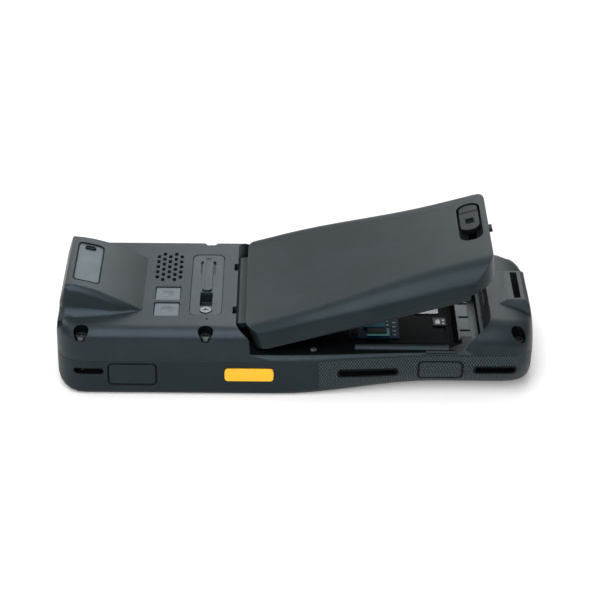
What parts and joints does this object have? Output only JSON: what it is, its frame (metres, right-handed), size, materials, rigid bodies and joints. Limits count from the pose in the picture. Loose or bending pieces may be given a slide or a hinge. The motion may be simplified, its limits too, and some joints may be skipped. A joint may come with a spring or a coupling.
{
  "type": "portable barcode data terminal",
  "caption": "Hand-held data terminal with a raised scan head, a touch display, a keypad, side scan keys and a battery pack tilted out of its bay.",
  "frame": {"origin": "centre of the bounding box on the plane the terminal rests on, with the display down", "axes": "+X from the scan head to the tail, +Y to the far side, +Z out of the back"},
  "size_m": [0.1972, 0.08, 0.0597],
  "materials": {
    "dark_housing": "fine moulded grain",
    "front_plastic": "fine moulded grain",
    "seal_rubber": "moulded",
    "zinc_screw": "zinc plated",
    "grey_plate": "satin moulded",
    "window_red": "polished",
    "engine_plastic": "moulded",
    "bracket_metal": "stamped",
    "speaker_black": "moulded",
    "panel_plastic": "satin moulded",
    "bright_steel": "polished",
    "circuit_board": "solder mask",
    "shield_tin": "tin plated",
    "switch_black": "moulded",
    "bay_board_blue": "solder mask",
    "contact_gold": "gold plated",
    "bay_metal": "stamped",
    "cover_plastic": "fine moulded grain",
    "case_plastic": "moulded",
    "latch_plastic": "moulded",
    "orange_key": "satin moulded",
    "plug_rubber": "moulded",
    "black_glass": "polished",
    "display_frame": "moulded",
    "key_light": "satin moulded",
    "key_grey": "satin moulded"
  },
  "bodies": {
    "housing": {"rear_housing": "dark_housing", "front_housing": "front_plastic", "housing_seal": "seal_rubber", "housing_screws": "zinc_screw", "hump_plate": "grey_plate", "scanner_window": "window_red", "scan_engine": "engine_plastic", "engine_bracket": "bracket_metal", "speaker": "speaker_black", "option_cover_far": "grey_plate", "option_cover_near": "grey_plate", "strap_panel": "panel_plastic", "strap_bar": "panel_plastic", "strap_screw": "bright_steel", "rim_pins": "bright_steel", "main_board": "circuit_board", "shield_can": "shield_tin", "key_switches": "switch_black", "bay_board": "bay_board_blue", "card_socket": "shield_tin", "board_pads": "contact_gold", "bay_plate": "bay_metal", "terminal_block": "switch_black", "terminal_springs": "contact_gold", "head_plug": "plug_rubber", "grip_plug": "plug_rubber", "touch_glass": "black_glass", "display_module": "display_frame", "keypad_board": "circuit_board"},
    "battery_pack": {"battery_cover": "cover_plastic", "battery_case": "case_plastic", "battery_contacts": "contact_gold"},
    "latch": {"latch_slider": "latch_plastic"},
    "side_key_near": {"side_key_near": "orange_key"},
    "side_key_far": {"side_key_far": "orange_key"},
    "front_scan_key": {"front_scan_key": "orange_key"},
    "function_key_near": {"function_key_near": "key_grey"},
    "function_key_far": {"function_key_far": "key_grey"},
    "number_key_1": {"number_key_1": "key_light"},
    "number_key_2": {"number_key_2": "key_light"},
    "number_key_3": {"number_key_3": "key_light"},
    "number_key_4": {"number_key_4": "key_light"},
    "number_key_5": {"number_key_5": "key_light"},
    "number_key_6": {"number_key_6": "key_light"},
    "number_key_7": {"number_key_7": "key_light"},
    "number_key_8": {"number_key_8": "key_light"},
    "number_key_9": {"number_key_9": "key_light"},
    "number_key_10": {"number_key_10": "key_light"},
    "number_key_11": {"number_key_11": "key_light"},
    "number_key_12": {"number_key_12": "key_light"}
  },
  "joints": [
    {"name": "pack_tilt", "type": "hinge", "parent": "housing", "child": "battery_pack", "pos_m": [-0.0247, 0, 0.0433], "axis": [0, 1, 0], "range_deg": [0, 16.4]},
    {"name": "latch_slide", "type": "slide", "parent": "battery_pack", "child": "latch", "axis": [0, -1, 0], "range_m": [0, 0.0084]},
    {"name": "side_key_near_press", "type": "slide", "parent": "housing", "child": "side_key_near", "axis": [0, 1, 0], "range_m": [0, 0.0008], "stiffness_N_per_m": 400},
    {"name": "side_key_far_press", "type": "slide", "parent": "housing", "child": "side_key_far", "axis": [0, -1, 0], "range_m": [0, 0.0008], "stiffness_N_per_m": 400},
    {"name": "front_scan_key_press", "type": "slide", "parent": "housing", "child": "front_scan_key", "axis": [0, 0, 1], "range_m": [0, 0.0008], "stiffness_N_per_m": 400},
    {"name": "function_key_near_press", "type": "slide", "parent": "housing", "child": "function_key_near", "axis": [0, 0, 1], "range_m": [0, 0.0008], "stiffness_N_per_m": 400},
    {"name": "function_key_far_press", "type": "slide", "parent": "housing", "child": "function_key_far", "axis": [0, 0, 1], "range_m": [0, 0.0008], "stiffness_N_per_m": 400},
    {"name": "number_key_1_press", "type": "slide", "parent": "housing", "child": "number_key_1", "axis": [0, 0, 1], "range_m": [0, 0.0008], "stiffness_N_per_m": 400},
    {"name": "number_key_2_press", "type": "slide", "parent": "housing", "child": "number_key_2", "axis": [0, 0, 1], "range_m": [0, 0.0008], "stiffness_N_per_m": 400},
    {"name": "number_key_3_press", "type": "slide", "parent": "housing", "child": "number_key_3", "axis": [0, 0, 1], "range_m": [0, 0.0008], "stiffness_N_per_m": 400},
    {"name": "number_key_4_press", "type": "slide", "parent": "housing", "child": "number_key_4", "axis": [0, 0, 1], "range_m": [0, 0.0008], "stiffness_N_per_m": 400},
    {"name": "number_key_5_press", "type": "slide", "parent": "housing", "child": "number_key_5", "axis": [0, 0, 1], "range_m": [0, 0.0008], "stiffness_N_per_m": 400},
    {"name": "number_key_6_press", "type": "slide", "parent": "housing", "child": "number_key_6", "axis": [0, 0, 1], "range_m": [0, 0.0008], "stiffness_N_per_m": 400},
    {"name": "number_key_7_press", "type": "slide", "parent": "housing", "child": "number_key_7", "axis": [0, 0, 1], "range_m": [0, 0.0008], "stiffness_N_per_m": 400},
    {"name": "number_key_8_press", "type": "slide", "parent": "housing", "child": "number_key_8", "axis": [0, 0, 1], "range_m": [0, 0.0008], "stiffness_N_per_m": 400},
    {"name": "number_key_9_press", "type": "slide", "parent": "housing", "child": "number_key_9", "axis": [0, 0, 1], "range_m": [0, 0.0008], "stiffness_N_per_m": 400},
    {"name": "number_key_10_press", "type": "slide", "parent": "housing", "child": "number_key_10", "axis": [0, 0, 1], "range_m": [0, 0.0008], "stiffness_N_per_m": 400},
    {"name": "number_key_11_press", "type": "slide", "parent": "housing", "child": "number_key_11", "axis": [0, 0, 1], "range_m": [0, 0.0008], "stiffness_N_per_m": 400},
    {"name": "number_key_12_press", "type": "slide", "parent": "housing", "child": "number_key_12", "axis": [0, 0, 1], "range_m": [0, 0.0008], "stiffness_N_per_m": 400}
  ]
}
